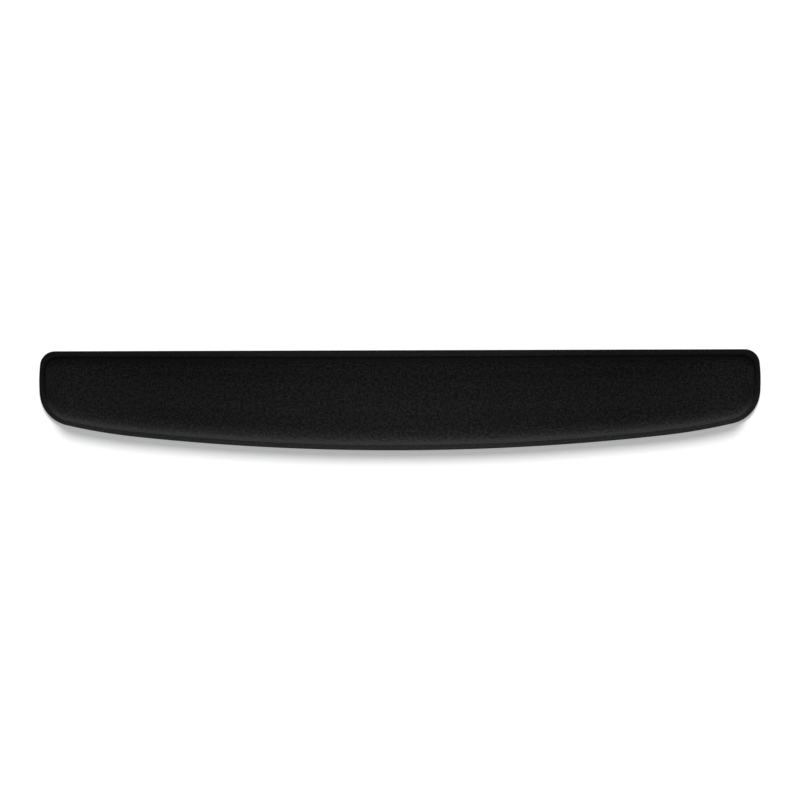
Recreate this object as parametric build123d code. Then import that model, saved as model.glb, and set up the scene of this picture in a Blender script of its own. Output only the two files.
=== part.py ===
from build123d import *
import math
import os

# Keyboard wrist rest: a long crowned pad of memory foam under a knitted cover, pressed
# onto a non-slip rubber base and die-cut all round, which leaves a thin flat rim.
#
# Millimetres. The origin is on the desk, under the middle of the rest. +X runs along
# the length, +Y points to the keyboard, where the edge is straight, and +Z is up. The
# edge on the user's side is bowed.

# ---- Driving dimensions -------------------------------------------------------------

LENGTH = 483.0
DEPTH = 67.1
HEIGHT = 18.5

RUBBER_THICKNESS = 2.4
FILM_THICKNESS = 0.15
SKIRT_THICKNESS = 0.8  # foam, where the press has flattened it under the rim
FABRIC_THICKNESS = 0.65

RIM_WIDTH_BACK = 3.8
RIM_WIDTH_FRONT = 3.5
RIM_WIDTH_END = 3.2

CROWN_RADIUS = 330.0  # round the length, over the top of the pad
CREST_Y = 2.0  # the crown is highest a little behind the middle
SHOULDER_RADIUS = 5.0  # where the pad's sides roll over into its top

# An outline runs from its back edge round one end to the middle of its front edge as
# five arcs, each tangent to the next: back corner, end, front corner, blend and front.
# "turns" are the headings in degrees, clockwise from +X, at which one arc hands over
# to the next. The radii of the end and the front follow from the length and depth.
RIM = {
    "length": LENGTH,
    "depth": DEPTH,
    "middle_y": 0.0,
    "back_corner": 10.0,
    "front_corner": 23.5,
    "blend": 400.0,
    "turns": (84.0, 94.0, 167.0, 173.8),
}
PAD = {
    "length": LENGTH - 2 * RIM_WIDTH_END,
    "depth": DEPTH - RIM_WIDTH_BACK - RIM_WIDTH_FRONT,
    "middle_y": (RIM_WIDTH_FRONT - RIM_WIDTH_BACK) / 2,
    "back_corner": 9.7,
    "front_corner": 20.5,
    "blend": 360.0,
    "turns": (83.0, 95.0, 167.3, 173.6),
}

# ---- Levels of the pressed layers, from the desk up ---------------------------------

BASE_FILM_Z = RUBBER_THICKNESS
FOAM_Z = BASE_FILM_Z + FILM_THICKNESS
COVER_FILM_Z = FOAM_Z + SKIRT_THICKNESS
FABRIC_Z = COVER_FILM_Z + FILM_THICKNESS
RIM_TOP_Z = FABRIC_Z + FABRIC_THICKNESS


def end_and_front_radii(shape):
    """The two radii that close an outline to its stated length and depth."""
    into_end, into_corner, into_blend, into_front = map(math.radians, shape["turns"])
    back, corner, blend = shape["back_corner"], shape["front_corner"], shape["blend"]
    # Across: a * end + b * front = across.  Along the depth: c * end + d * front = down.
    a = 1 - math.sin(into_corner)
    b = math.sin(into_front)
    c = math.cos(into_end) - math.cos(into_corner)
    d = 1 + math.cos(into_front)
    across = (
        shape["length"] / 2
        + corner * (math.sin(into_blend) - math.sin(into_corner))
        + blend * (math.sin(into_front) - math.sin(into_blend))
    )
    down = (
        shape["depth"]
        - back * (1 - math.cos(into_end))
        - corner * (math.cos(into_corner) - math.cos(into_blend))
        - blend * (math.cos(into_blend) - math.cos(into_front))
    )
    determinant = a * d - b * c
    end = (across * d - b * down) / determinant
    front = (a * down - across * c) / determinant
    return end, front


def outline(shape, grow=0.0):
    """A flat face of the outline, offset outwards by grow: every arc keeps its centre."""
    end, front = end_and_front_radii(shape)
    radii = [shape["back_corner"], end, shape["front_corner"], shape["blend"], front]
    headings = [0.0, *shape["turns"], 180.0]
    corner_turn = math.radians(headings[1])
    back_edge_half = (
        shape["length"] / 2
        - shape["back_corner"] * math.sin(corner_turn)
        - end * (1 - math.sin(corner_turn))
    )
    back_y = shape["middle_y"] + shape["depth"] / 2 + grow
    with BuildSketch() as sketch:
        with BuildLine():
            edge = Line((0, back_y), (back_edge_half, back_y))
            for radius, start, stop in zip(radii, headings, headings[1:]):
                edge = JernArc(edge @ 1, edge % 1, radius + grow, start - stop)
            mirror(about=Plane.YZ)
        make_face()
    return sketch.sketch.face()


def rim_layer(bottom, top):
    """A flat layer of the stack, cut to the outline of the rim."""
    return extrude(Plane.XY.offset(bottom) * outline(RIM), top - bottom)


def crowned_pad(inset):
    """The raised pad, with every surface set in by inset from the finished outside."""
    crown_axis = Plane(
        origin=(0, CREST_Y, HEIGHT - CROWN_RADIUS), x_dir=(0, 1, 0), z_dir=(1, 0, 0)
    )
    crown = extrude(crown_axis * Circle(CROWN_RADIUS - inset), LENGTH / 2, both=True)
    column = extrude(Plane.XY.offset(FOAM_Z) * outline(PAD, -inset), HEIGHT)
    pad = column & crown
    top = pad.faces().sort_by(Axis.Z)[-1]
    return fillet(top.edges(), SHOULDER_RADIUS - inset)


def under_layer(rim_top, inset):
    """Everything from the base film up to one surface of the lamination."""
    return rim_layer(FOAM_Z, rim_top) + crowned_pad(inset)


def rubber_base():
    return rim_layer(0, BASE_FILM_Z)


def base_bond_film():
    return rim_layer(BASE_FILM_Z, FOAM_Z)


def laminated_top():
    """The foam core, the film over it and the fabric cover, one skin over the other."""
    foam = under_layer(COVER_FILM_Z, FABRIC_THICKNESS + FILM_THICKNESS)
    up_to_film = under_layer(FABRIC_Z, FABRIC_THICKNESS)
    up_to_fabric = under_layer(RIM_TOP_Z, 0)
    return foam, up_to_film - foam, up_to_fabric - up_to_film


def main():
    foam_core, cover_bond_film, cover_fabric = laminated_top()
    nodes = {
        "rubber_base": rubber_base(),
        "base_bond_film": base_bond_film(),
        "foam_core": foam_core,
        "cover_bond_film": cover_bond_film,
        "cover_fabric": cover_fabric,
    }
    os.makedirs("parts", exist_ok=True)
    for name, shape in nodes.items():
        export_step(shape, f"parts/{name}.step")


main()
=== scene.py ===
import math

import bmesh
import bpy
import numpy as np
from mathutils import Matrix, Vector, noise


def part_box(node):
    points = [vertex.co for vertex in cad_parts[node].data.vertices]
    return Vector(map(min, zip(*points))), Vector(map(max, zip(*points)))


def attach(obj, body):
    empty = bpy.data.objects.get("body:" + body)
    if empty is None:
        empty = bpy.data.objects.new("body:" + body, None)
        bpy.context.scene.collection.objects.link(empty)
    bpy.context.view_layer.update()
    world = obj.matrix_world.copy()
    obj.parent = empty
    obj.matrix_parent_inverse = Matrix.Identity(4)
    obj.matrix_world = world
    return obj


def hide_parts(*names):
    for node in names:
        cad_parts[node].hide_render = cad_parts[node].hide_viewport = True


# Keyboard wrist rest: a memory-foam pad under a black knit, pressed onto a rubber base.
# Meshes are worked out in millimetres, in the frame of the CAD model: +X along the
# length, +Y towards the keyboard, +Z up, origin on the desk under the middle.

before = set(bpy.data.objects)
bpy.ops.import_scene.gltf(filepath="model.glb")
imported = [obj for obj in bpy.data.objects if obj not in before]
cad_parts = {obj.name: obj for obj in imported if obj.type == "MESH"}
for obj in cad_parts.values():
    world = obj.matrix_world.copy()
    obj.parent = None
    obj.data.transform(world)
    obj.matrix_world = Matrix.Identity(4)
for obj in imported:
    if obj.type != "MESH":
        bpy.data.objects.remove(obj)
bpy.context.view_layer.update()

MM = 0.001


def level(node, corner):
    """The height in millimetres of a CAD node's lowest (0) or highest (1) corner."""
    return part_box(node)[corner].z / MM


# ---- Driving dimensions, in millimetres ---------------------------------------------

LENGTH = 483.0
DEPTH = 67.1
RIM_WIDTH_BACK = 3.8
RIM_WIDTH_FRONT = 3.5
RIM_WIDTH_END = 3.2

RUBBER_TOP_Z = level("rubber_base", 1)
FOAM_Z = level("foam_core", 0)
FILM_Z = level("cover_bond_film", 0)
FABRIC_Z = level("cover_fabric", 0)
CREST_Z = level("cover_fabric", 1)
FABRIC_THICKNESS = 0.65
FILM_THICKNESS = FABRIC_Z - FILM_Z
RIM_TOP_Z = FABRIC_Z + FABRIC_THICKNESS

CUT_EDGE_ROUND = 0.25  # the die pinches the cover's edge round
RIM_THINNING = 0.45  # the share by which the press thins the stack at the cut edge
CREASE_WIDTH = 0.5  # on the rim's side of the crease round the pad
CREASE_DEPTH = 0.05
END_CREASE_SHADE = 0.6  # how strongly shade is painted into the crease at the ends, against 1 at the back, 0 in front
FOAM_EDGE_INSET = 0.12  # the foam springs back a little from the cut

BACK_BOW = 0.7  # the pad's back edge is pulled in this much at its middle
CREST_Y = 2.0
CROWN_RADIUS = 480.0  # before it swells
# The pad's sides: how much of the height they lean in by, how far in and down the shoulder
# rolls, and its power. 1 is a bevel, 2 an ellipse, and more a tight shoulder that lands
# gently on the top.
BACK_SIDE = (0.15, 3.6, 4.4, 2.0)
END_SIDE = (0.20, 8.2, 8.5, 1.55)
FRONT_SIDE = (0.13, 9.3, 5.0, 3.0)
BACK_FADE = 0.38  # the back's roll gives way to the end's over this share of the depth
END_DROP = 1.2
END_DROP_LENGTH = 34.0
UNEVENNESS = 0.10  # the foam's skin is never quite true
UNEVEN_WAVE = 38.0
UNEVEN_SEED = 7.3

BASE_EDGE_ROUND = 0.2
BASE_EDGE_HOLLOW = 0.1
PLAIN_MARGIN = 3.0  # round the honeycomb ribs under the base
CELL_PITCH = 3.2
RIB_WIDTH = 0.6
RIB_SLOPE = 0.35
RIB_HEIGHT = 0.4

# The cover is pumped up by a short cloth simulation from a slightly lower pad.
SWELL_ROOM = 0.45
SWELL_CAP = 0.9  # no point moves further than this
SWELL_PRESSURE = 4.0
SWELL_FRAMES = 8
SHEET_MASS = 0.01  # in kilograms for each point
SHEET_STIFFNESS = 400
SHEET_DAMPING = 25

# An outline runs from its back edge round one end to the middle of its front edge as
# five arcs, each tangent to the next: back corner, end, front corner, blend and front.
# "turns" are the headings in degrees, clockwise from +X, where one arc becomes the next.
RIM = {
    "length": LENGTH,
    "depth": DEPTH,
    "middle_y": 0.0,
    "back_corner": 10.0,
    "front_corner": 23.5,
    "blend": 400.0,
    "turns": (84.0, 94.0, 167.0, 173.8),
}
PAD = {
    "length": LENGTH - 2 * RIM_WIDTH_END,
    "depth": DEPTH - RIM_WIDTH_BACK - RIM_WIDTH_FRONT,
    "middle_y": (RIM_WIDTH_FRONT - RIM_WIDTH_BACK) / 2,
    "back_corner": 9.7,
    "front_corner": 20.5,
    "blend": 360.0,
    "turns": (83.0, 95.0, 167.3, 173.6),
}

# ---- Mesh steps ---------------------------------------------------------------------

# Along half an outline: the back edge, then its five arcs. The patch inside the rings
# has its corners half way round the corner arcs, so its front and back have as many
# steps as each other: back edge + 6 = 10 + blend + front.
STEPS = (92, 12, 8, 20, 16, 72)
LOOP = 2 * sum(STEPS)
PATCH_COLUMNS = 2 * (STEPS[0] + STEPS[1] // 2)
PATCH_ROWS = STEPS[1] // 2 + STEPS[2] + STEPS[3] // 2

# Across the cover, from its cut edge to the pad's top.
EDGE_TURNS = np.radians([0, 22.5, 45, 67.5, 90])
FLAT_SHARES = (0.15, 0.3, 0.45, 0.6, 0.8)
CREASE_SHARES = (0.0, 0.25, 0.5, 0.75, 1.0)
WALL_SHARES = (0.02, 0.08, 0.2, 0.4, 0.6, 0.8)
ROLL_TURNS = np.radians(np.linspace(0, 90, 16))
EDGE_RINGS = len(EDGE_TURNS)
RIM_RINGS = EDGE_RINGS + len(FLAT_SHARES) + len(CREASE_SHARES)
RINGS = RIM_RINGS + len(WALL_SHARES) + len(ROLL_TURNS)
SHADED_CREASE_RINGS = slice((RIM_RINGS - 2) * LOOP, (RIM_RINGS + 5) * LOOP)  # the rings in the crease, where shade is painted into the knit's colour


# ---- Outlines -----------------------------------------------------------------------


def end_and_front_radii(shape):
    """The two radii that close an outline to its stated length and depth."""
    into_end, into_corner, into_blend, into_front = map(math.radians, shape["turns"])
    back, corner, blend = shape["back_corner"], shape["front_corner"], shape["blend"]
    a = 1 - math.sin(into_corner)
    b = math.sin(into_front)
    c = math.cos(into_end) - math.cos(into_corner)
    d = 1 + math.cos(into_front)
    across = (
        shape["length"] / 2
        + corner * (math.sin(into_blend) - math.sin(into_corner))
        + blend * (math.sin(into_front) - math.sin(into_blend))
    )
    down = (
        shape["depth"]
        - back * (1 - math.cos(into_end))
        - corner * (math.cos(into_corner) - math.cos(into_blend))
        - blend * (math.cos(into_blend) - math.cos(into_front))
    )
    determinant = a * d - b * c
    return (across * d - b * down) / determinant, (a * down - across * c) / determinant


def outline(shape, steps):
    """A closed loop of points and its outward normals, clockwise from the back's middle."""
    end, front = end_and_front_radii(shape)
    radii = [shape["back_corner"], end, shape["front_corner"], shape["blend"], front]
    headings = np.radians([0.0, *shape["turns"], 180.0])
    x = (
        shape["length"] / 2
        - shape["back_corner"] * math.sin(headings[1])
        - end * (1 - math.sin(headings[1]))
    )
    y = shape["middle_y"] + shape["depth"] / 2
    points = [(x * i / steps[0], y) for i in range(steps[0])]
    turned = [0.0] * steps[0]
    for radius, start, stop, count in zip(radii, headings, headings[1:], steps[1:]):
        for angle in np.linspace(start, stop, count, endpoint=False):
            across = radius * (math.sin(angle) - math.sin(start))
            down = radius * (math.cos(angle) - math.cos(start))
            points.append((x + across, y + down))
            turned.append(angle)
        x += radius * (math.sin(stop) - math.sin(start))
        y += radius * (math.cos(stop) - math.cos(start))
    points.append((0.0, y))
    turned.append(math.pi)
    right = np.array(points)
    normals = np.stack([np.sin(turned), np.cos(turned)], axis=1)
    flip = np.array([-1.0, 1.0])
    loop = np.concatenate([right, right[-2:0:-1] * flip])
    outward = np.concatenate([normals, normals[-2:0:-1] * flip])
    return loop, outward


def cross(a, b):
    return a[..., 0] * b[..., 1] - a[..., 1] * b[..., 0]


def reach(points, normals, loop):
    """How far it is from each point, along its normal, to a closed loop round it."""
    edge = (np.roll(loop, -1, axis=0) - loop)[None]
    to_start = loop[None] - points[:, None]
    facing = cross(normals[:, None], edge)
    facing[np.abs(facing) < 1e-9] = 1e-9
    distance = cross(to_start, edge) / facing
    share = cross(to_start, normals[:, None]) / facing
    missed = (share < -1e-6) | (share > 1 + 1e-6) | (distance < 0)
    return np.where(missed, np.inf, distance).min(axis=1)


def pull_in_back_edge(loop, outward):
    """The foam shrinks as it sets, so the pad's long straight edge bows in a little."""
    back = outward[:, 1] > 0.9999
    half = np.abs(loop[back, 0]).max()
    loop[back, 1] -= BACK_BOW * (1 - (loop[back, 0] / half) ** 2) ** 2


pad_loop, outward = outline(PAD, STEPS)
pull_in_back_edge(pad_loop, outward)
rim_width = reach(pad_loop, outward, outline(RIM, tuple(8 * n for n in STEPS))[0])
rim_loop = pad_loop + outward * rim_width[:, None]


# ---- Surfaces -----------------------------------------------------------------------

# A surface is one array of points: closed rings, outermost first, and then the inner
# rows of a patch of four-sided faces that fills the last ring.


def patch_sides(ring):
    """The back, right, front and left of the patch, out of the ring round it."""
    back_right = PATCH_COLUMNS // 2
    front_right = back_right + PATCH_ROWS
    front_left = front_right + PATCH_COLUMNS
    back_left = front_left + PATCH_ROWS
    loop = np.arange(LOOP + back_right + 1) % LOOP
    back = loop[back_left:]
    right = loop[back_right : front_right + 1]
    front = loop[front_right : front_left + 1][::-1]
    left = loop[front_left : back_left + 1][::-1]
    return [ring[side] for side in (back, right, front, left)]


def fill_patch(ring):
    """The patch's inner points, blended from its four sides."""
    back, right, front, left = patch_sides(ring)
    s = np.linspace(0, 1, PATCH_COLUMNS + 1)[None, :, None]
    t = np.linspace(0, 1, PATCH_ROWS + 1)[:, None, None]
    between_long_sides = (1 - t) * back[None] + t * front[None]
    between_short_sides = (1 - s) * left[:, None] + s * right[:, None]
    between_back_corners = (1 - s) * back[0] + s * back[-1]
    between_front_corners = (1 - s) * front[0] + s * front[-1]
    corners = (1 - t) * between_back_corners + t * between_front_corners
    blended = between_long_sides + between_short_sides - corners
    return blended[1:-1, 1:-1].reshape(-1, ring.shape[1])


def strip_faces(upper, lower):
    """Four-sided faces between two rings of point numbers."""
    turn = np.roll(np.arange(LOOP), -1)
    return np.stack([upper, lower, lower[turn], upper[turn]], axis=1).tolist()


def surface_faces(rings):
    """The faces of a surface of so many rings, looking up."""
    ring = np.arange(LOOP)
    faces = []
    for k in range(rings - 1):
        faces += strip_faces(ring + k * LOOP, ring + (k + 1) * LOOP)
    grid = np.zeros((PATCH_ROWS + 1, PATCH_COLUMNS + 1), int)
    inner = np.arange((PATCH_ROWS - 1) * (PATCH_COLUMNS - 1)) + rings * LOOP
    grid[1:-1, 1:-1] = inner.reshape(PATCH_ROWS - 1, PATCH_COLUMNS - 1)
    grid[0], grid[:, -1], grid[-1], grid[:, 0] = patch_sides(ring + (rings - 1) * LOOP)
    corners = [grid[:-1, :-1], grid[1:, :-1], grid[1:, 1:], grid[:-1, 1:]]
    return faces + np.stack(corners, axis=2).reshape(-1, 4).tolist()


def smooth(share):
    return share * share * (3 - 2 * share)


def crown_height(xy):
    """The height of the pad's top, before its sides roll over."""
    x, y = xy[:, 0], xy[:, 1]
    front_radius = end_and_front_radii(PAD)[1]
    crest_y = CREST_Y + x**2 / (4 * front_radius)  # it bows half as much as the front
    fall = (y - crest_y) ** 2 / (2 * CROWN_RADIUS)
    into_end = np.abs(x) - (PAD["length"] / 2 - END_DROP_LENGTH)
    drop = END_DROP * (np.maximum(into_end, 0) / END_DROP_LENGTH) ** 2
    return CREST_Z - SWELL_ROOM - fall - drop


def side_shares():
    """How much each point round the pad belongs to its back, its ends and its front."""
    forwards = np.minimum(outward[:, 1], 0) ** 2
    from_back = (pad_loop[:, 1].max() - pad_loop[:, 1]) / (BACK_FADE * PAD["depth"])
    backwards = 1 - smooth(np.clip(from_back, 0, 1))
    return backwards, 1 - backwards - forwards, forwards


def cover_surface():
    """The outside of the cover, from its cut edge over the rim and up the pad."""
    rings = []

    def rim_ring(from_edge, z):
        xy = rim_loop - outward * np.broadcast_to(from_edge, LOOP)[:, None]
        rings.append(np.column_stack([xy, np.full(LOOP, z)]))

    for turn in EDGE_TURNS:
        inset = CUT_EDGE_ROUND * (1 - math.cos(turn))
        rim_ring(inset, RIM_TOP_Z - CUT_EDGE_ROUND * (1 - math.sin(turn)))
    flat_width = rim_width - CUT_EDGE_ROUND - CREASE_WIDTH
    for share in FLAT_SHARES:
        rim_ring(CUT_EDGE_ROUND + flat_width * share, RIM_TOP_Z)
    for share in CREASE_SHARES:
        from_edge = rim_width - CREASE_WIDTH * (1 - share)
        rim_ring(from_edge, RIM_TOP_Z - CREASE_DEPTH * smooth(share))

    backwards, endwise, forwards = side_shares()
    draft, roll_in, roll_down, power = (
        back * backwards + end * endwise + front * forwards
        for back, end, front in zip(BACK_SIDE, END_SIDE, FRONT_SIDE)
    )
    foot_z = RIM_TOP_Z - CREASE_DEPTH
    wall_in = outward * (draft * (CREST_Z - foot_z))[:, None]
    wall_top = pad_loop - wall_in
    wall_top_z = crown_height(wall_top) - roll_down
    for share in WALL_SHARES:
        xy = pad_loop - wall_in * share
        rings.append(np.column_stack([xy, foot_z + (wall_top_z - foot_z) * share]))
    for turn in ROLL_TURNS:
        inward = roll_in * (1 - math.cos(turn) ** (2 / power))
        xy = wall_top - outward * inward[:, None]
        z = crown_height(xy) - roll_down * (1 - math.sin(turn) ** (2 / power))
        rings.append(np.column_stack([xy, z]))

    top = fill_patch(rings[-1])
    top[:, 2] = crown_height(top[:, :2])
    return np.concatenate([*rings, top])


def add_cloth(sheet):
    """Cloth under pressure from within, held still over the rim and the crease."""
    held = sheet.vertex_groups.new(name="held")
    held.add(list(range((RIM_RINGS + 1) * LOOP)), 1.0, "REPLACE")
    modifier = sheet.modifiers.new("swell", "CLOTH")
    modifier.collision_settings.use_collision = False
    modifier.point_cache.frame_start = 1
    modifier.point_cache.frame_end = SWELL_FRAMES
    cloth = modifier.settings
    cloth.vertex_group_mass = held.name
    cloth.mass = SHEET_MASS
    for direction in ("tension", "compression", "shear"):
        setattr(cloth, direction + "_stiffness", SHEET_STIFFNESS)
        setattr(cloth, direction + "_damping", SHEET_DAMPING)
    cloth.use_pressure = True
    cloth.uniform_pressure_force = SWELL_PRESSURE
    cloth.effector_weights.gravity = 0


def swell(points):
    """The cover's outside after the foam has pushed it up a little from below."""
    scene = bpy.context.scene
    first_frame = scene.frame_current
    sheet = new_object("swelling_sheet", points, surface_faces(RINGS))
    add_cloth(sheet)
    for number in range(1, SWELL_FRAMES + 1):
        scene.frame_set(number)
    swollen = np.zeros(3 * len(points))
    evaluated = sheet.evaluated_get(bpy.context.evaluated_depsgraph_get())
    evaluated.data.vertices.foreach_get("co", swollen)
    bpy.data.objects.remove(sheet)
    scene.frame_set(first_frame)
    moved = swollen.reshape(-1, 3) / MM - points
    distance = np.maximum(np.linalg.norm(moved, axis=1), 1e-9)
    return points + moved * np.minimum(1, SWELL_CAP / distance)[:, None]


def unevenness(points):
    """Low, slow waves in the skin of the foam, and none on the rim."""
    stretch = Vector((1 / UNEVEN_WAVE, 1.6 / UNEVEN_WAVE, 0))
    seed = Vector((0, 0, UNEVEN_SEED))
    waves = [noise.noise(Vector(point) * stretch + seed) for point in points]
    high = (points[:, 2] - RIM_TOP_Z) / (CREST_Z - RIM_TOP_Z)
    return UNEVENNESS * np.array(waves) * np.clip(2 * high, 0, 1)


def surface_normals(points):
    mesh = bpy.data.meshes.new("for_normals")
    mesh.from_pydata(points.tolist(), [], surface_faces(RINGS))
    normals = np.zeros(len(points) * 3)
    mesh.vertices.foreach_get("normal", normals)
    bpy.data.meshes.remove(mesh)
    return normals.reshape(-1, 3)


def layer_below(points, thickness, rim_z):
    """The surface that lies thickness under the cover's outside. Under the rim it goes
    straight down to rim_z, flush with the cut edge, and follows the crease."""
    under = points - surface_normals(points) * thickness
    rim = slice(0, RIM_RINGS * LOOP)
    cut_edge = slice(0, EDGE_RINGS * LOOP)
    crease_foot = slice((RIM_RINGS - 1) * LOOP, RIM_RINGS * LOOP)
    under[rim, :2] = points[rim, :2]
    under[rim, 2] = rim_z + np.minimum(points[rim, 2] - RIM_TOP_Z, 0)
    under[cut_edge, 2] = rim_z
    under[crease_foot, :2] -= outward * thickness
    return under


def press_rim(points):
    """Thins the stack towards the cut edge, so that the rim slopes down to it."""
    rim = points[: RIM_RINGS * LOOP].reshape(RIM_RINGS, LOOP, 3)
    from_edge = np.linalg.norm(rim[:, :, :2] - rim_loop, axis=2) / rim_width
    thinning = RIM_THINNING * np.clip(1 - from_edge, 0, 1)
    rim[:, :, 2] = FOAM_Z + (rim[:, :, 2] - FOAM_Z) * (1 - thinning)


def flat_surface(z):
    """A flat sheet of the rim's outline."""
    ring = np.column_stack([rim_loop, np.full(LOOP, z)])
    return np.concatenate([ring, fill_patch(ring)])


# ---- Meshes -------------------------------------------------------------------------


def new_object(name, points, faces):
    mesh = bpy.data.meshes.new(name)
    mesh.from_pydata((points * MM).tolist(), [], faces)
    mesh.shade_smooth()
    made = bpy.data.objects.new(name, mesh)
    bpy.context.scene.collection.objects.link(made)
    return made


def side_ring(z, inset):
    """A ring down the cut edge of the stack."""
    return np.column_stack([rim_loop - outward * inset, np.full(LOOP, z)])


def closed_layer(name, upper, upper_rings, lower, lower_rings, side=()):
    """A closed mesh between two surfaces, joined down the cut edge by the side rings."""
    start = len(upper)
    faces = surface_faces(upper_rings)
    faces += [[start + v for v in reversed(f)] for f in surface_faces(lower_rings)]
    ring = np.arange(LOOP)
    first_side = start + len(lower)
    strips = [ring, *(first_side + k * LOOP + ring for k in range(len(side))), start + ring]
    for above, beneath in zip(strips, strips[1:]):
        faces += strip_faces(beneath, above)
    return new_object(name, np.concatenate([upper, lower, *side]), faces)


def laid_flat(points):
    """Where each point of the cover was when the knit lay flat, in metres."""
    rings = points[: RINGS * LOOP].reshape(RINGS, LOOP, 3)
    steps = np.linalg.norm(rings[:-1] - rings[1:], axis=2)
    along = np.concatenate([np.cumsum(steps[::-1], axis=0)[::-1], np.zeros((1, LOOP))])
    flat = points.copy()
    unrolled = rings[-1, :, :2] + outward * along[:, :, None]
    flat[: RINGS * LOOP, :2] = unrolled.reshape(-1, 2)
    flat[:, 2] = 0
    return flat * MM


def point_attribute(made, name, kind, values):
    attribute = made.data.attributes.new(name, kind, "POINT")
    field = "vector" if kind == "FLOAT_VECTOR" else "value"
    attribute.data.foreach_set(field, np.asarray(values, np.float32).ravel())


def mark_knit(cover, outside):
    """Tells the knit's material where each point lay, where it is pressed, and where shade is
    painted dark into the crease.
    """
    flat = laid_flat(outside)
    pressed = np.zeros(len(outside))
    pressed[: (RIM_RINGS + 1) * LOOP] = 1
    crease_shade = np.zeros(len(outside))
    backwards, endwise, _ = side_shares()
    # Painted shade: the crease rings are marked for darkening, fully at the back, partly at the
    # ends, not in front.
    crease_shade[SHADED_CREASE_RINGS].reshape(-1, LOOP)[:] = backwards + END_CREASE_SHADE * endwise
    point_attribute(cover, "knit", "FLOAT_VECTOR", np.concatenate([flat, flat]))
    point_attribute(cover, "pressed", "FLOAT", np.concatenate([pressed, pressed]))
    point_attribute(cover, "crease_shade", "FLOAT", np.concatenate([crease_shade, crease_shade]))


def make_lamination():
    """The cover, the film under it and the foam, one inside the other."""
    outside = swell(cover_surface())
    outside[:, 2] += unevenness(outside)
    film_top = layer_below(outside, FABRIC_THICKNESS, FABRIC_Z)
    foam_top = layer_below(outside, FABRIC_THICKNESS + FILM_THICKNESS, FILM_Z)
    for surface in (outside, film_top, foam_top):
        press_rim(surface)

    cover = closed_layer("cover_knit", outside, RINGS, film_top, RINGS)
    mark_knit(cover, outside)
    film = closed_layer("cover_film", film_top, RINGS, foam_top, RINGS)
    skirt = (FILM_Z - FOAM_Z) * (1 - RIM_THINNING)
    middle = side_ring(FOAM_Z + skirt / 2, FOAM_EDGE_INSET)
    foam = closed_layer("foam_pad", foam_top, RINGS, flat_surface(FOAM_Z), 1, [middle])
    return cover, film, foam


def hexagon(radius, z):
    turns = np.radians(np.arange(6) * 60 + 30)
    return np.stack([radius * np.cos(turns), radius * np.sin(turns), np.full(6, z)], axis=1)


def cell_centres():
    """Centres of the honeycomb cells that keep clear of the base's plain margin."""
    row_step = CELL_PITCH * math.sqrt(3) / 2
    rows = int(DEPTH / 2 / row_step)
    columns = int(LENGTH / 2 / CELL_PITCH)
    centres = np.array(
        [
            ((column + row % 2 / 2) * CELL_PITCH, row * row_step)
            for row in range(-rows, rows + 1)
            for column in range(-columns - 1, columns + 1)
        ]
    )
    edge = np.roll(rim_loop, -1, axis=0) - rim_loop
    inward = np.stack([edge[:, 1], -edge[:, 0]], axis=1)
    inward /= np.linalg.norm(inward, axis=1)[:, None]
    clear = ((centres[:, None] - rim_loop[None]) * inward[None]).sum(axis=2).min(axis=1)
    return centres[clear > PLAIN_MARGIN + CELL_PITCH / 2]


def honeycomb():
    """Points and faces of the ribs and hollows under the base, cell by cell."""
    corner = CELL_PITCH / math.sqrt(3)
    rings = [
        hexagon(corner, 0),
        hexagon(corner - RIB_WIDTH / 2, 0),
        hexagon(corner - RIB_WIDTH / 2 - RIB_SLOPE, RIB_HEIGHT),
    ]
    cell_faces = [[17, 16, 15, 14, 13, 12]]
    for ring in (0, 6):
        for a, b in zip(range(6), (1, 2, 3, 4, 5, 0)):
            cell_faces.append([ring + b, ring + a, ring + 6 + a, ring + 6 + b])
    cell = np.concatenate(rings)
    points, faces = [], []
    for number, (x, y) in enumerate(cell_centres()):
        points.append(cell + (x, y, 0))
        faces += [[v + number * len(cell) for v in face] for face in cell_faces]
    return np.concatenate(points), faces


def make_rubber_base():
    """The base sheet: flat on top, honeycomb ribs underneath inside a plain margin."""
    upper = flat_surface(RUBBER_TOP_Z)
    side = [
        side_ring(RUBBER_TOP_Z * 0.85, 0.5 * BASE_EDGE_HOLLOW),
        side_ring(RUBBER_TOP_Z * 0.5, BASE_EDGE_HOLLOW),
        side_ring(RUBBER_TOP_Z * 0.2, 0.5 * BASE_EDGE_HOLLOW),
        side_ring(BASE_EDGE_ROUND, 0),
        side_ring(BASE_EDGE_ROUND * 0.3, BASE_EDGE_ROUND * 0.3),
        side_ring(0, BASE_EDGE_ROUND),
    ]
    faces = surface_faces(1)
    ring = np.arange(LOOP)
    strips = [ring, *(len(upper) + k * LOOP + ring for k in range(len(side)))]
    for above, beneath in zip(strips, strips[1:]):
        faces += strip_faces(beneath, above)
    cells, cell_faces = honeycomb()
    start = len(upper) + len(side) * LOOP
    faces += [[start + v for v in face] for face in cell_faces]
    base = new_object("base_rubber", np.concatenate([upper, *side, cells]), faces)

    # Join the cells to each other, then fill the plain margin between them and the edge.
    sheet = bmesh.new()
    sheet.from_mesh(base.data)
    bmesh.ops.remove_doubles(sheet, verts=sheet.verts, dist=0.01 * MM)
    open_edges = [e for e in sheet.edges if e.is_boundary]
    bmesh.ops.triangle_fill(sheet, edges=open_edges, use_beauty=True)
    bmesh.ops.recalc_face_normals(sheet, faces=sheet.faces)
    sheet.to_mesh(base.data)
    sheet.free()
    base.data.shade_smooth()
    base.data.set_sharp_from_angle(angle=math.radians(30))
    return base


# ---- Materials ----------------------------------------------------------------------


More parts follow.
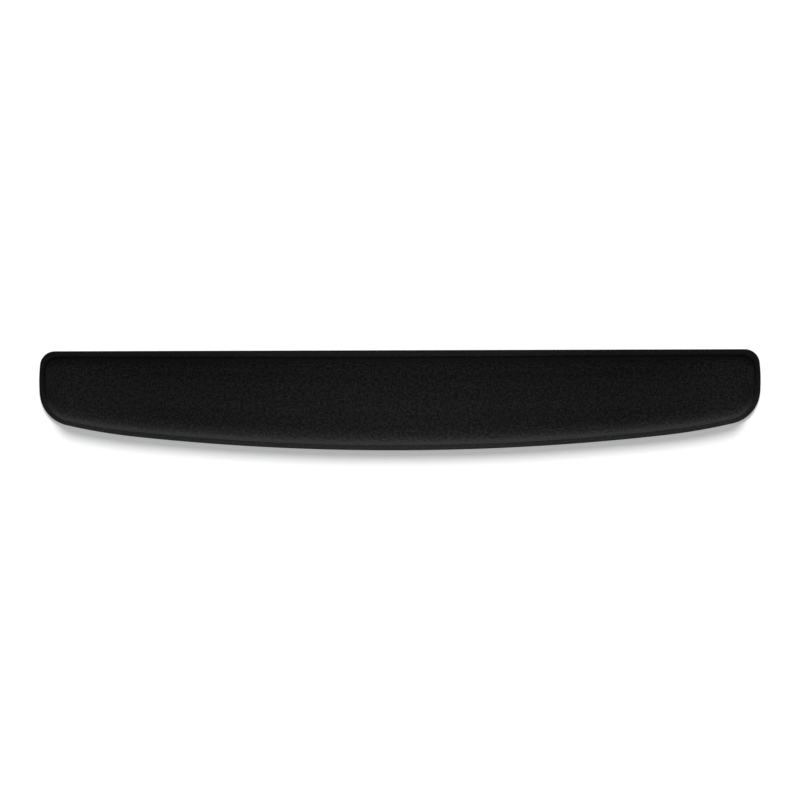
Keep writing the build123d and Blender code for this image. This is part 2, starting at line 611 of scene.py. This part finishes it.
class Graph:
    """A material's node tree, with short calls for the nodes that this file uses."""

    def __init__(self, name):
        self.material = bpy.data.materials.new(name)
        self.material.use_nodes = True
        self.tree = self.material.node_tree
        self.tree.nodes.clear()
        self.shader = self.tree.nodes.new("ShaderNodeBsdfPrincipled")
        surface = self.tree.nodes.new("ShaderNodeOutputMaterial").inputs["Surface"]
        self.tree.links.new(self.shader.outputs["BSDF"], surface)

    def put(self, socket, value):
        if isinstance(value, bpy.types.NodeSocket):
            self.tree.links.new(value, socket)
        else:
            socket.default_value = value

    def attribute(self, name, output):
        return self.node("ShaderNodeAttribute", attribute_name=name).outputs[output]

    def node(self, kind, inputs=(), **settings):
        made = self.tree.nodes.new(kind)
        for key, value in settings.items():
            setattr(made, key, value)
        for key, value in dict(inputs).items():
            self.put(made.inputs[key], value)
        return made

    def math(self, operation, *values):
        made = self.node("ShaderNodeMath", operation=operation)
        for socket, value in zip(made.inputs, values):
            self.put(socket, value)
        return made.outputs[0]

    def noise(self, vector, size, detail=2.0):
        """Noise from 0 to 1 with lumps of about that size, in metres."""
        inputs = {"Vector": vector, "Scale": 1 / size, "Detail": detail}
        return self.node("ShaderNodeTexNoise", inputs).outputs[0]

    def blend(self, factor, low, high):
        colours = {0: factor, 6: (*low, 1), 7: (*high, 1)}
        return self.node("ShaderNodeMix", colours, data_type="RGBA").outputs[2]

    def span(self, value, low, high, to_low=0.0, to_high=1.0):
        inputs = {
            "Value": value,
            "From Min": low,
            "From Max": high,
            "To Min": to_low,
            "To Max": to_high,
        }
        return self.node("ShaderNodeMapRange", inputs).outputs[0]

    def bump(self, height, distance, strength=1.0):
        inputs = {"Height": height, "Distance": distance, "Strength": strength}
        self.put(self.shader.inputs["Normal"], self.node("ShaderNodeBump", inputs).outputs[0])

    def finish(self, **sockets):
        for name, value in sockets.items():
            self.put(self.shader.inputs[name.replace("_", " ")], value)
        return self.material


# Sizes in the knit, in metres.
WALE = 0.00062  # one column of stitches
COURSE = 0.00048  # one row
GRAIN = 0.0011
CLUMP = 0.0024
MOTTLE = 0.030

DARKEST_YARN = (0.0025, 0.0026, 0.0025)
PALEST_YARN = (0.0225, 0.0231, 0.0227)


def stitches(g, flat):
    """The relief of plain jersey: columns of V-shaped stitches, from 0 to 1."""
    axes = g.node("ShaderNodeSeparateXYZ", {"Vector": flat})
    wales = g.math("DIVIDE", axes.outputs["X"], WALE)
    courses = g.math("DIVIDE", axes.outputs["Y"], COURSE)
    off_centre = g.math("SUBTRACT", g.math("FRACT", wales), 0.5)
    across = g.math("MULTIPLY", g.math("ABSOLUTE", off_centre), 2.0)
    leg = g.math("SINE", g.math("MULTIPLY", across, math.pi))
    slanted = g.math("ADD", courses, g.math("MULTIPLY", across, 0.6))
    loop = g.math("COSINE", g.math("MULTIPLY", slanted, 2 * math.pi))
    return g.math("MULTIPLY", leg, g.math("MULTIPLY_ADD", loop, 0.25, 0.75))


def knit_tone(g, flat, grain, pressed):
    """How pale the yarns are: uneven, paler and calmer where the press ironed them, and darkened
    with painted shade in the crease at the pad's foot.
    """
    clumps = g.noise(flat, CLUMP)
    speckle = g.math("ADD", g.math("MULTIPLY", grain, 0.68), g.math("MULTIPLY", clumps, 0.32))
    darkest = g.span(pressed, 0, 1, 0.0, 0.33)
    palest = g.span(pressed, 0, 1, 0.78, 0.87)
    tone = g.span(speckle, 0.395, 0.625, darkest, palest)
    crease_shade = g.attribute("crease_shade", "Fac")
    # Painted shade: where the crease is fully marked, the knit's colour falls to 5% of itself.
    tone = g.math("MULTIPLY", tone, g.span(crease_shade, 0, 1, 1.0, 0.05))
    return g.math("MULTIPLY", tone, g.span(g.noise(flat, MOTTLE), 0.3, 0.7, 0.88, 1.0))


def knit_material():
    """Fine black jersey, flatter where it is pressed, with painted shade darkening the crease at
    the pad's foot.
    """
    g = Graph("black_knit")
    flat = g.attribute("knit", "Vector")
    pressed = g.attribute("pressed", "Fac")
    grain = g.noise(flat, GRAIN, 1.0)
    colour = g.blend(knit_tone(g, flat, grain, pressed), DARKEST_YARN, PALEST_YARN)
    relief = g.math("MULTIPLY_ADD", grain, 0.5, stitches(g, flat))
    g.bump(g.math("MULTIPLY", relief, g.span(pressed, 0, 1, 1.0, 0.45)), 0.00010)
    dullness = g.span(grain, 0.3, 0.7, 0.72, 0.90)
    roughness = g.math("SUBTRACT", dullness, g.math("MULTIPLY", pressed, 0.15))
    return g.finish(
        Base_Color=colour,
        Roughness=roughness,
        Specular_IOR_Level=0.05,
        Sheen_Weight=0.02,
        Sheen_Roughness=0.5,
    )


def rubber_material():
    """Foamed black rubber: fine pores, a dusty bloom, and roughness that varies."""
    g = Graph("foamed_rubber")
    place = g.node("ShaderNodeTexCoord").outputs["Object"]
    pores = g.node(
        "ShaderNodeTexVoronoi", {"Vector": place, "Scale": 1 / 0.0007}, feature="F1"
    ).outputs["Distance"]
    bloom = g.noise(place, 0.014, 4.0)
    fine = g.noise(place, 0.0009, 3.0)
    shade = g.math("ADD", g.math("MULTIPLY", bloom, 0.6), g.math("MULTIPLY", fine, 0.4))
    colour = g.blend(g.span(shade, 0.35, 0.65), (0.005, 0.005, 0.005), (0.012, 0.012, 0.0115))
    g.bump(g.span(pores, 0.0, 0.5), 0.00012)
    return g.finish(
        Base_Color=colour,
        Roughness=g.span(fine, 0.3, 0.7, 0.74, 0.92),
        Specular_IOR_Level=0.12,
    )


def foam_material():
    """Open-cell foam: dark grey, with cells under a millimetre across."""
    g = Graph("charcoal_foam")
    place = g.node("ShaderNodeTexCoord").outputs["Object"]
    cells = g.node(
        "ShaderNodeTexVoronoi", {"Vector": place, "Scale": 1 / 0.0006}, feature="DISTANCE_TO_EDGE"
    ).outputs["Distance"]
    walls = g.span(cells, 0.02, 0.22, 1.0, 0.0)
    patches = g.noise(place, 0.008, 3.0)
    shade = g.math("MULTIPLY_ADD", patches, 0.35, g.math("MULTIPLY", walls, 0.65))
    colour = g.blend(shade, (0.008, 0.008, 0.009), (0.027, 0.027, 0.029))
    g.bump(walls, 0.00018)
    return g.finish(
        Base_Color=colour,
        Roughness=g.span(walls, 0, 1, 0.95, 0.82),
        Specular_IOR_Level=0.1,
    )


def film_material():
    """Hot-melt film: smoky, glossier where it has wetted out, dull where it bridges."""
    g = Graph("bond_film")
    place = g.node("ShaderNodeTexCoord").outputs["Object"]
    wetted = g.noise(place, 0.005, 4.0)
    colour = g.blend(g.span(wetted, 0.35, 0.65), (0.006, 0.006, 0.006), (0.016, 0.016, 0.0155))
    g.bump(g.noise(place, 0.0012, 3.0), 0.00004)
    return g.finish(
        Base_Color=colour,
        Roughness=g.span(wetted, 0.35, 0.65, 0.30, 0.55),
        Specular_IOR_Level=0.2,
    )


def floor_material():
    """Pale, even studio floor with the slightest grain, lit a little from beneath."""
    g = Graph("pale_floor")
    place = g.node("ShaderNodeTexCoord").outputs["Object"]
    colour = g.blend(g.noise(place, 0.02, 2.0), (0.88, 0.88, 0.89), (0.90, 0.90, 0.91))
    return g.finish(
        Base_Color=colour,
        Roughness=0.9,
        Specular_IOR_Level=0.1,
        Emission_Color=(1, 1, 1, 1),
        Emission_Strength=FLOOR_GLOW,
    )


def dress(made, material):
    made.data.materials.clear()
    made.data.materials.append(material)


# ---- Studio, in metres and degrees --------------------------------------------------

LENS = 0.085
SENSOR = 0.036
VIEW_WIDTH = 0.5351  # what the picture is wide at the rim's height, in metres
CAMERA_ROLL = -0.178
CAMERA_X = 0.0
CAMERA_Y = 0.0002

WORLD_FILL = 0.12
END_LAMP_X = 0.225
FLOOR_GLOW = 0.35
WASH_ELEVATION = 48.0
WASH_SPREAD = 22.0
WASH_STRENGTH = 3.0


def make_camera():
    """Straight above the rest, with the keyboard's side at the top of the picture."""
    data = bpy.data.cameras.new("camera")
    data.lens = LENS * 1000
    data.sensor_width = SENSOR * 1000
    camera = bpy.data.objects.new("camera", data)
    distance = LENS / SENSOR * VIEW_WIDTH
    camera.location = (CAMERA_X, CAMERA_Y, distance + RIM_TOP_Z * MM)
    camera.rotation_euler = (0, 0, math.radians(CAMERA_ROLL))
    data.clip_end = 100
    bpy.context.scene.collection.objects.link(camera)
    bpy.context.scene.camera = camera


def make_floor():
    half = 15.0
    corners = np.array([(-half, -half, 0), (half, -half, 0), (half, half, 0), (-half, half, 0)])
    floor = new_object("studio_floor", corners / MM, [(0, 1, 2, 3)])
    floor.data.materials.append(floor_material())
    floor.visible_diffuse = False  # black cloth on white: no light thrown up at the rest
    floor.visible_glossy = False
    return floor


def aim(lamp, target):
    direction = Vector(target) - lamp.location
    lamp.rotation_euler = direction.to_track_quat("-Z", "Y").to_euler()


def place_lamp(data, place, target, receivers):
    """Hangs a lamp, aims it, and lets only the receivers take light from it."""
    lamp = bpy.data.objects.new(data.name, data)
    lamp.location = place
    lamp.visible_camera = False
    bpy.context.scene.collection.objects.link(lamp)
    aim(lamp, target)
    lit = bpy.data.collections.new(data.name + "_receivers")
    for receiver in receivers:
        lit.objects.link(receiver)
    lamp.light_linking.receiver_collection = lit


def softbox(name, place, target, size, watts, receivers):
    data = bpy.data.lights.new(name, "AREA")
    data.shape = "RECTANGLE"
    data.size, data.size_y = size
    data.energy = watts
    place_lamp(data, place, target, receivers)


def floor_wash(floor):
    """A wide soft light from the keyboard's side that keeps the floor white: the rest
    casts its short soft shadow on the user's side."""
    data = bpy.data.lights.new("floor_wash", "SUN")
    data.angle = math.radians(WASH_SPREAD)
    data.energy = WASH_STRENGTH
    tilt = math.radians(WASH_ELEVATION)
    place_lamp(data, (0, math.cos(tilt), math.sin(tilt)), (0, 0, 0), [floor])


def make_lamps(pieces, floor):
    """A low light that grazes the front, soft lights overhead, and the floor's own."""
    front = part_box("cover_fabric")[0].y
    from_user = (0, front - 0.80, 0.075)
    softbox("low_front", from_user, (0, front, 0.012), (0.60, 0.08), 15.0, pieces)
    softbox("overhead", (0, 0, 0.50), (0, 0, 0), (0.90, 0.30), 0.65, pieces)
    softbox("centre", (0, 0, 0.25), (0, 0, 0), (0.12, 0.12), 0.28, pieces)
    for name, x in (("left", -END_LAMP_X), ("right", END_LAMP_X)):
        softbox(name, (x, 0, 0.07), (x, 0, 0), (0.03, 0.06), 0.011, pieces)
    floor_wash(floor)


def make_world():
    """White where the camera looks past the floor, and a weaker fill for the object."""
    world = bpy.data.worlds.new("studio")
    bpy.context.scene.world = world
    world.use_nodes = True
    nodes, links = world.node_tree.nodes, world.node_tree.links
    nodes.clear()
    seen = nodes.new("ShaderNodeBackground")
    seen.inputs["Color"].default_value = (1, 1, 1, 1)
    seen.inputs["Strength"].default_value = 1.05
    lit = nodes.new("ShaderNodeBackground")
    lit.inputs["Color"].default_value = (0.95, 0.98, 1.0, 1)
    lit.inputs["Strength"].default_value = WORLD_FILL
    choose = nodes.new("ShaderNodeMixShader")
    output = nodes.new("ShaderNodeOutputWorld")
    links.new(nodes.new("ShaderNodeLightPath").outputs["Is Camera Ray"], choose.inputs[0])
    links.new(lit.outputs[0], choose.inputs[1])
    links.new(seen.outputs[0], choose.inputs[2])
    links.new(choose.outputs[0], output.inputs["Surface"])


# ---- Assembly -----------------------------------------------------------------------

make_camera()

cover, film, foam = make_lamination()
base = make_rubber_base()
base_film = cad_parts["base_bond_film"]  # the CAD's own, under a new material
bond_film = film_material()

dress(cover, knit_material())
dress(film, bond_film)
dress(foam, foam_material())
dress(base_film, bond_film)
dress(base, rubber_material())

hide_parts("cover_fabric")
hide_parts("cover_bond_film")
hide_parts("foam_core")
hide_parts("rubber_base")
for piece in (cover, film, foam, base):
    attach(piece, "root")

make_lamps([cover, film, foam, base, base_film], make_floor())
make_world()

bpy.context.scene.view_settings.view_transform = "Standard"
